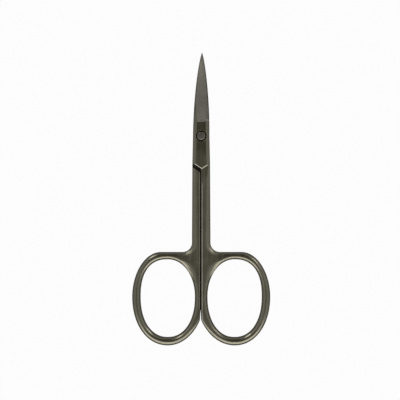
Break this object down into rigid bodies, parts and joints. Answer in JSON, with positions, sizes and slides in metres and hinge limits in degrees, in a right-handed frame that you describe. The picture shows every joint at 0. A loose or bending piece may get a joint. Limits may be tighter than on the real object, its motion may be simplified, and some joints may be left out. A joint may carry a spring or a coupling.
{
  "type": "curved nail scissors",
  "caption": "Slim nail scissors with oval finger rings: forged steel halves half-lapped on a flush rivet, narrow blades that curve up to a fine point.",
  "frame": {"origin": "on the level the closed scissors rest on, under the middle of their bounding box", "axes": "+Y towards the tips, +Z out of the rivet's head and the way the blades curve, +X to the right"},
  "size_m": [0.0424, 0.09, 0.0056],
  "materials": {
    "satin_gunmetal": "satin",
    "rivet_gunmetal": "satin"
  },
  "bodies": {
    "rear": {"rear_half": "satin_gunmetal", "pivot_rivet": "rivet_gunmetal"},
    "front": {"front_half": "satin_gunmetal"}
  },
  "joints": [
    {"name": "opening", "type": "hinge", "parent": "rear", "child": "front", "pos_m": [0, 0.0195, 0.0016], "axis": [0, 0, 1], "range_deg": [0, 75]}
  ]
}
